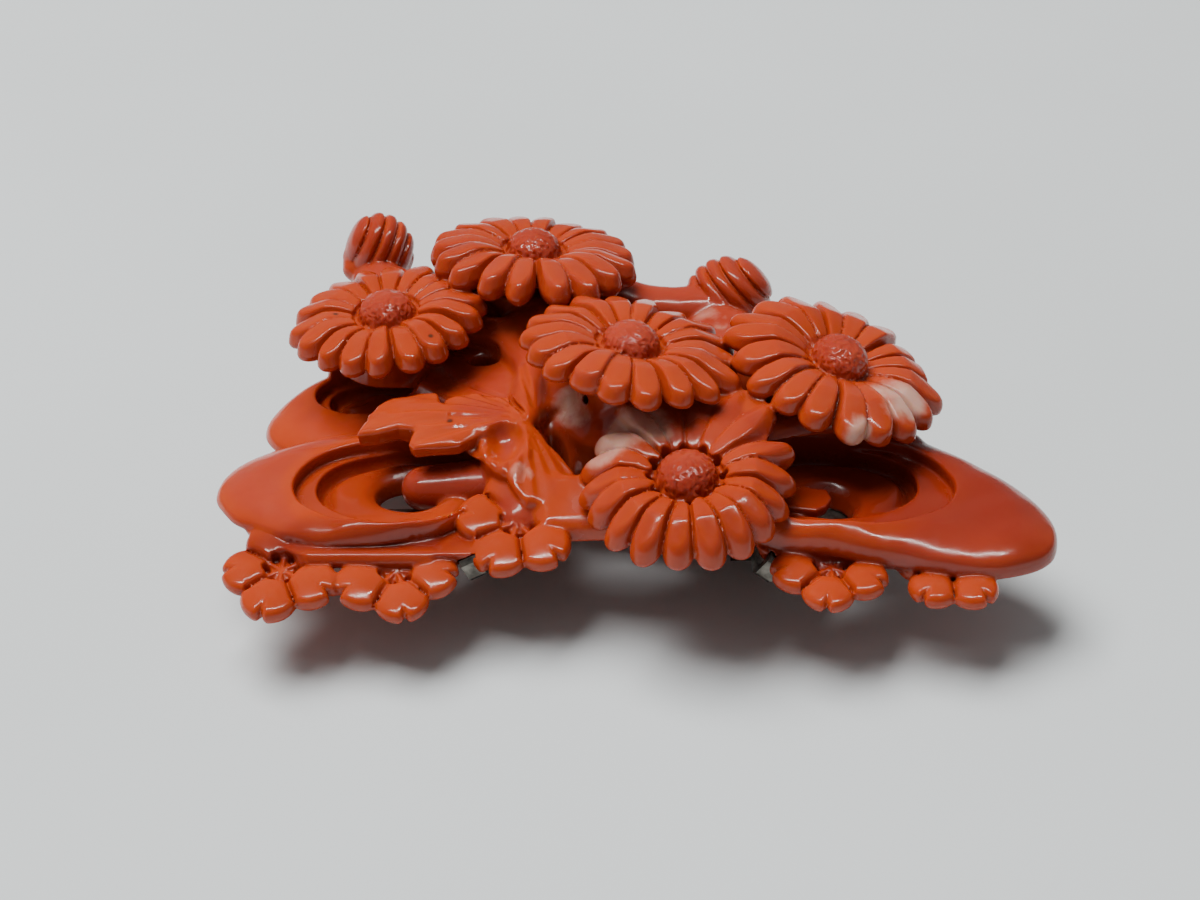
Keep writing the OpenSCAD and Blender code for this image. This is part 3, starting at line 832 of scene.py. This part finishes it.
def new_mesh(name, vertices, faces):
    mesh = bpy.data.meshes.new(name)
    mesh.vertices.add(len(vertices))
    mesh.vertices.foreach_set("co", vertices.astype(np.float32).ravel())
    mesh.loops.add(faces.size)
    mesh.loops.foreach_set("vertex_index", faces.astype(np.int32).ravel())
    mesh.polygons.add(len(faces))
    mesh.polygons.foreach_set("loop_start", np.arange(len(faces), dtype=np.int32) * faces.shape[1])
    mesh.update(calc_edges=True)
    piece = bpy.data.objects.new(name, mesh)
    bpy.context.scene.collection.objects.link(piece)
    return piece


def to_frame(points):
    """From the tables' millimetres to metres in the object's frame."""
    return (points + np.array([*CENTRE, BACK])) * MM


def from_frame(points):
    return points / MM - np.array([*CENTRE, BACK])


def outward(coral, points):
    """The direction in which the field grows fastest."""
    step = 0.06
    parts = []
    for axis in np.eye(3) * step:
        parts.append(coral.at(points + axis) - coral.at(points - axis))
    direction = np.stack(parts, -1)
    return direction / np.maximum(np.linalg.norm(direction, axis=1), 1e-6)[:, None]


def vertex_layer(mesh, name, values):
    layer = mesh.attributes.new(name, "FLOAT", "POINT")
    layer.data.foreach_set("value", values.astype(np.float32))


# Pale patches of the coral: place, half axes, strength
PALE = [
    ([18.2, -5.6, 7.0], [3.2, 2.5, 1.6], 0.85), ([14.6, -8.6, 6.4], [1.2, 1.2, 1.2], 0.8),
    ([0.8, -8.0, 6.4], [3.0, 2.2, 1.6], 0.9), ([-1.9, -9.4, 5.9], [2.9, 2.4, 1.8], 1.0),
    ([-3.0, -3.4, 5.2], [2.3, 2.3, 2.0], 0.85), ([4.4, -6.4, 6.6], [2.2, 1.4, 1.5], 0.6),
    ([-7.1, -9.9, 4.2], [1.1, 1.0, 1.0], 0.8), ([6.2, 9.6, 3.8], [2.0, 2.2, 1.8], 0.5),
    ([6.8, 7.0, 3.8], [1.6, 1.6, 2.0], 0.8), ([-12.4, 2.6, 4.0], [1.6, 1.2, 1.2], 0.5),
]

# Painted shade as darker red: the right loop, which is less lit, the bands under the loops, and the left
# loop's floor and front
PAINTED_SHADE_PATCHES = [
    ([19.0, -9.0, 1.5], [11.5, 7.5, 4.4], 0.8), ([24.5, -13.8, 0.5], [3.5, 3.0, 2.0], 0.6),
    ([-17.0, -13.4, 0.6], [9.5, 1.8, 1.5], 1.0), ([14.0, -14.4, 0.4], [8.0, 1.4, 1.6], 1.0),
    ([-17.6, -8.0, 1.2], [6.5, 4.2, 1.8], 0.5), ([-18.0, -14.2, 2.4], [8.5, 1.6, 1.6], 0.5),
]


def patch_share(points, patches):
    """How much of each point's colour is that of the patches, from 0 to 1."""
    share = np.zeros(len(points))
    for place, half, strength in patches:
        away = np.linalg.norm((points - np.array(place)) / np.array(half), axis=1)
        share = np.maximum(share, strength * (1 - blend_between(0.55, 1.25, away)))
    return share


def build_coral(coral):
    """The finished mesh: thinned, set back on the field, and with its vertex values."""
    vertices, quads = mesh_of(coral.grid())
    piece = new_mesh("coral", to_frame(vertices), quads)
    goal = TRIANGLES / (2 * len(quads))
    if goal < 1:
        thin = piece.modifiers.new("thin", "DECIMATE")
        thin.ratio = goal
        thin.use_collapse_triangulate = True
        graph = bpy.context.evaluated_depsgraph_get()
        mesh = bpy.data.meshes.new_from_object(piece.evaluated_get(graph))
        piece.modifiers.clear()
        piece.data = mesh
    mesh = piece.data
    places = np.empty(len(mesh.vertices) * 3, np.float32)
    mesh.vertices.foreach_get("co", places)
    points = from_frame(places.reshape(-1, 3).astype(float))
    normals = outward(coral, points)
    points -= normals * np.clip(coral.at(points), -MOVE_MOST, MOVE_MOST)[:, None]
    mesh.vertices.foreach_set("co", to_frame(points).astype(np.float32).ravel())
    thickness = -coral.at(points - normals * THICKNESS_REACH) / THICKNESS_REACH
    openness = sum(coral.at(points + normals * step) / step for step in OPENNESS_STEPS) / 2
    vertex_layer(mesh, "thickness", np.clip(thickness, 0, 1))
    vertex_layer(mesh, "openness", np.clip(openness, 0, 1))
    vertex_layer(mesh, "pale", patch_share(points, PALE))
    # How much painted shade each point gets
    vertex_layer(mesh, "painted_shade", patch_share(points, PAINTED_SHADE_PATCHES))
    mesh.polygons.foreach_set("use_smooth", np.ones(len(mesh.polygons), bool))
    mesh.update()
    mesh.normals_split_custom_set_from_vertices(normals.astype(np.float32))
    return piece


# Materials

# Numbers of a colour mix's sockets: share of the second colour, the two colours, and the result
MIX_SHARE, MIX_A, MIX_B, MIX_RESULT = 0, 6, 7, 2


class Nodes:
    """Short calls for building a material's nodes."""

    def __init__(self, name):
        self.material = bpy.data.materials.new(name)
        self.material.use_nodes = True
        self.tree = self.material.node_tree
        self.shader = self.tree.nodes["Principled BSDF"]

    def add(self, kind, links=(), **values):
        node = self.tree.nodes.new(kind)
        for key, value in values.items():
            setattr(node, key, value)
        for socket, value in dict(links).items():
            self.put(node, socket, value)
        return node

    def put(self, node, socket, value):
        if isinstance(value, bpy.types.NodeSocket):
            self.tree.links.new(value, node.inputs[socket])
        else:
            node.inputs[socket].default_value = value

    def noise(self, scale, detail, roughness=0.5, stretch=None):
        place = self.add("ShaderNodeTexCoord").outputs["Object"]
        if stretch:
            place = self.add("ShaderNodeMapping", {"Vector": place, "Scale": stretch}).outputs[0]
        return self.add("ShaderNodeTexNoise", {
            "Vector": place, "Scale": scale, "Detail": detail, "Roughness": roughness,
        }).outputs["Fac"]

    def span(self, value, low, high, to_low=0.0, to_high=1.0):
        """A smooth step of the value from low to high."""
        return self.add("ShaderNodeMapRange", {
            "Value": value, "From Min": low, "From Max": high, "To Min": to_low, "To Max": to_high,
        }, interpolation_type="SMOOTHSTEP").outputs[0]

    def math(self, operation, a, b):
        return self.add("ShaderNodeMath", {0: a, 1: b}, operation=operation).outputs[0]

    def mix(self, share, a, b):
        node = self.add("ShaderNodeMix", data_type="RGBA")
        self.put(node, MIX_SHARE, share)
        self.put(node, MIX_A, a)
        self.put(node, MIX_B, b)
        return node.outputs[MIX_RESULT]

    def attribute(self, name):
        return self.add("ShaderNodeAttribute", attribute_name=name).outputs["Fac"]

    def bump(self, height, strength, distance, normal=None):
        links = {"Height": height, "Strength": strength, "Distance": distance}
        if normal:
            links["Normal"] = normal
        return self.add("ShaderNodeBump", links).outputs[0]


# Colours of the coral
ORANGE, RED = (0.37, 0.043, 0.018, 1), (0.30, 0.028, 0.011, 1)
FINE_LINES = (0.43, 0.075, 0.032, 1)
# Painted glow: the brighter orange of light shining through thin walls
PAINTED_THIN_GLOW = (0.46, 0.050, 0.002, 1)
# Painted shade in hollows and crevices
HOLLOW_SHADE = (0.16, 0.007, 0.002, 1)
# Painted shade, as a darker red
PAINTED_SHADE_RED = (0.19, 0.015, 0.006, 1)
WHITISH = (0.62, 0.37, 0.28, 1)
# Painted shade of the small pits
PAINTED_PIT_SHADE = (0.05, 0.018, 0.010, 1)
# Colours of the silver: tarnish, lighter patches of it, and worn edges
TARNISH, GREY, WORN = (0.08, 0.072, 0.062, 1), (0.24, 0.22, 0.19, 1), (0.60, 0.57, 0.51, 1)
# Heights in metres between which the mount gets its wear, and the rounding of its edges
WORN_FROM, WORN_TO = 0.0062, 0.0074
EDGE_ROUNDING = 0.00012
# Small pits of the coral, which are not carved but painted as dark spots of shade: x, y and radius
PITS = [(-20.2, 3.5, 0.22), (-13.4, -0.2, 0.20), (-11.9, -5.9, 0.24), (8.1, -9.9, 0.15)]


def surface_at(coral, x, y):
    """The highest point of the coral at x and y."""
    heights = np.arange(11.5, 0, -0.05)
    column = np.stack([np.full(len(heights), x), np.full(len(heights), y), heights], -1)
    return column[np.argmax(coral.at(column) < 0)]


def coral_material(coral):
    n = Nodes("polished_coral")
    base = n.mix(n.span(n.noise(160, 4), 0.35, 0.68), ORANGE, RED)
    lines = n.noise(420, 2, 0.5, stretch=(0.35, 1, 1.6))
    base = n.mix(n.span(lines, 0.55, 0.75, 0, 0.22), base, FINE_LINES)
    thin = n.span(n.attribute("thickness"), 0.25, 0.95, 1, 0)
    # Painted glow of light through thin coral: the thinner the wall, the more of the brighter orange
    base = n.mix(n.math("MULTIPLY", thin, 0.55), base, PAINTED_THIN_GLOW)
    # Painted shade: the less open the surface, the more of the dark hollow colour
    cavity = n.span(n.attribute("openness"), 0.10, 0.85, 1, 0)
    base = n.mix(n.math("MULTIPLY", cavity, 0.30), base, HOLLOW_SHADE)
    # Painted shade patches as darker red
    base = n.mix(n.attribute("painted_shade"), base, PAINTED_SHADE_RED)
    cloud = n.math("ADD", n.attribute("pale"), n.span(n.noise(260, 5, 0.6), 0.3, 0.7, -0.35, 0.25))
    pale = n.math("MULTIPLY", n.span(cloud, 0.25, 1.0), n.span(n.attribute("pale"), 0.02, 0.2))
    base = n.mix(n.math("MULTIPLY", pale, 0.85), base, WHITISH)
    place = n.add("ShaderNodeTexCoord").outputs["Object"]
    # Painted shade: a dark spot on the surface at each pit
    for x, y, radius in PITS:
        spot = tuple(to_frame(surface_at(coral, x, y)))
        away = n.add("ShaderNodeVectorMath", {0: place, 1: spot}, operation="DISTANCE").outputs["Value"]
        inside = n.span(away, radius * 0.4 * MM, radius * 1.3 * MM, 0.9, 0)
        base = n.mix(inside, base, PAINTED_PIT_SHADE)
    n.put(n.shader, "Base Color", base)
    n.put(n.shader, "Subsurface Weight", 0.40)
    n.put(n.shader, "Subsurface Radius", (1.0, 0.20, 0.05))
    n.put(n.shader, "Subsurface Scale", 0.0010)
    n.put(n.shader, "IOR", 1.46)
    rough = n.span(n.noise(900, 3), 0.3, 0.7, 0.11, 0.22)
    n.put(n.shader, "Roughness", n.math("ADD", rough, n.math("MULTIPLY", cavity, 0.18)))
    scratches = n.noise(2600, 3, 0.6, stretch=(1, 0.4, 1))
    waves = n.bump(n.noise(300, 2), 0.6, 0.00016)
    soft = n.bump(n.noise(700, 3), 0.35, 0.00005, waves)
    n.put(n.shader, "Normal", n.bump(scratches, 0.10, 0.00002, soft))
    return n.material


def silver_material():
    n = Nodes("oxidised_silver")
    height = n.add("ShaderNodeSeparateXYZ", {
        0: n.add("ShaderNodeTexCoord").outputs["Object"],
    }).outputs["Z"]
    base = n.mix(n.span(n.noise(700, 5, 0.65), 0.38, 0.66), TARNISH, GREY)
    worn = n.span(height, WORN_FROM, WORN_TO)
    bright = n.math("MULTIPLY", worn, n.span(n.noise(1500, 3), 0.35, 0.6, 0.1, 0.8))
    base = n.mix(bright, base, WORN)
    n.put(n.shader, "Base Color", base)
    n.put(n.shader, "Metallic", 1.0)
    n.put(n.shader, "Roughness", n.span(n.noise(900, 4), 0.3, 0.7, 0.28, 0.55))
    marks = n.noise(3200, 3, 0.6, stretch=(0.15, 1, 1))
    soft = n.bump(n.noise(900, 4), 0.5, 0.00006)
    n.put(n.shader, "Normal", n.bump(marks, 0.3, 0.00003, soft))
    return n.material


def floor_material():
    n = Nodes("pale_floor")
    base = n.mix(n.span(n.noise(9, 4), 0.3, 0.7), (0.58, 0.60, 0.585, 1), (0.63, 0.65, 0.64, 1))
    n.put(n.shader, "Base Color", base)
    n.put(n.shader, "Roughness", 0.55)
    return n.material


def dress_mount():
    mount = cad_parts["silver_mount"]
    mount.data.materials.clear()
    mount.data.materials.append(silver_material())
    soften = mount.modifiers.new("worn_edges", "BEVEL")
    soften.width = EDGE_ROUNDING
    soften.segments = 2
    soften.limit_method = "ANGLE"
    soften.angle_limit = math.radians(35)


# Scene

# Camera over the front: elevation, distance and target in millimetres of the object's frame,
# focal length and width of its sensor
ELEVATION = 33.0
DISTANCE = 145.0
TARGET = np.array([-2.15, -7.23, 10.0])
LENS = 66.0
SENSOR = 36.0


def aim(thing, place, target):
    thing.location = Vector(place)
    thing.rotation_euler = (Vector(target) - Vector(place)).to_track_quat("-Z", "Y").to_euler()


def add_camera():
    camera = bpy.data.objects.new("camera", bpy.data.cameras.new("camera"))
    bpy.context.scene.collection.objects.link(camera)
    camera.data.lens = LENS
    camera.data.sensor_width = SENSOR
    camera.data.clip_start = 0.005
    e = math.radians(ELEVATION)
    back = np.array([0, -math.cos(e), math.sin(e)])
    aim(camera, (TARGET + back * DISTANCE) * MM, TARGET * MM)
    bpy.context.scene.camera = camera


# Lamps: name, place in metres, width, depth, power, colour, and whether the lamp lights the
# things or only shows in their polish
LAMPS = [
    ("ceiling_strip", (0.02, -0.13, 0.42), 0.50, 0.008, 1.9, (1.0, 0.98, 0.95), False),
    ("window", (-0.20, 0.09, 0.62), 0.50, 0.40, 9.3, (0.97, 0.98, 1.0), True),
]
# The light of the room all round
ROOM_COLOUR = (0.93, 0.97, 1.0, 1)
ROOM_STRENGTH = 0.22


def add_lamps():
    for name, place, width, depth, power, colour, lights in LAMPS:
        data = bpy.data.lights.new(name, "AREA")
        data.shape = "RECTANGLE"
        data.size, data.size_y = width, depth
        data.energy = power
        data.color = colour
        lamp = bpy.data.objects.new(name, data)
        lamp.visible_diffuse = lights
        lamp.visible_glossy = not lights
        bpy.context.scene.collection.objects.link(lamp)
        aim(lamp, place, (0, 0, 0))


def add_world():
    world = bpy.data.worlds.new("room")
    world.use_nodes = True
    background = world.node_tree.nodes["Background"]
    background.inputs["Color"].default_value = ROOM_COLOUR
    background.inputs["Strength"].default_value = ROOM_STRENGTH
    bpy.context.scene.world = world


def add_floor():
    size = 3.0
    corners = np.array([[-size, -size, 0], [size, -size, 0], [size, size, 0], [-size, size, 0]])
    floor = new_mesh("floor", corners, np.array([[0, 1, 2, 3]]))
    floor.data.materials.append(floor_material())


def main():
    carving = carve()
    coral = build_coral(carving)
    coral.data.materials.append(coral_material(carving))
    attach(coral, "root")
    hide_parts("coral_carving")
    dress_mount()
    add_floor()
    add_world()
    add_lamps()
    add_camera()


main()
